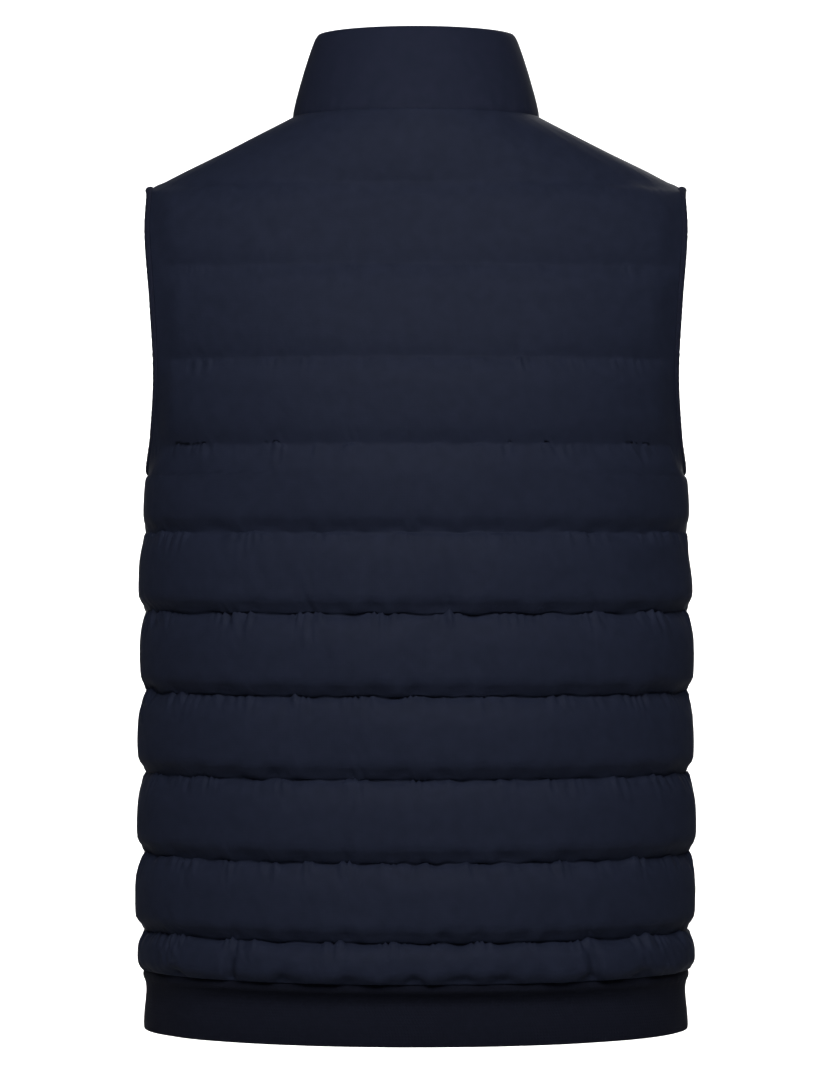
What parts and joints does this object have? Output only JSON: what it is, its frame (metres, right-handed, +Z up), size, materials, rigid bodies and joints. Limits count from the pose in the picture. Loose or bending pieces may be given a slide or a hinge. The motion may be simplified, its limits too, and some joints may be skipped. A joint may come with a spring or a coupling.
{
  "type": "quilted vest",
  "caption": "Hollow sleeveless quilted vest, filled out as worn, with a stand collar, bound armholes, a plain hem band and a closed front zip whose pull swings.",
  "frame": {"origin": "midway between the two neck points, where the shoulder seams meet the collar and the wearer's shoulders hold the vest", "axes": "+Z up, the wearer faces -Y, the wearer's left is at +X"},
  "size_m": [0.4322, 0.2905, 0.7771],
  "materials": {
    "shell": "soft semi-matt woven nylon over filling",
    "collar": "soft semi-matt woven nylon, plain",
    "band": "matt plain jersey",
    "binding": "matt folded elastic tape",
    "tape": "matt woven zip tape",
    "chain": "moulded zip teeth",
    "slider": "dark lacquered die-cast metal"
  },
  "bodies": {
    "garment": {"back_panel": "shell", "front_left": "shell", "front_right": "shell", "collar": "collar", "hem_band": "band", "armhole_binding_left": "binding", "armhole_binding_right": "binding", "zip_tape_left": "tape", "zip_tape_right": "tape", "zip_chain": "chain", "zip_box": "slider", "zip_slider": "slider"},
    "pull": {"zip_pull": "slider"}
  },
  "joints": [
    {"name": "pull_hinge", "type": "hinge", "parent": "garment", "child": "pull", "pos_m": [0, -0.09188, -0.0219], "axis": [-1, 0, 0], "range_deg": [0, 165]}
  ]
}
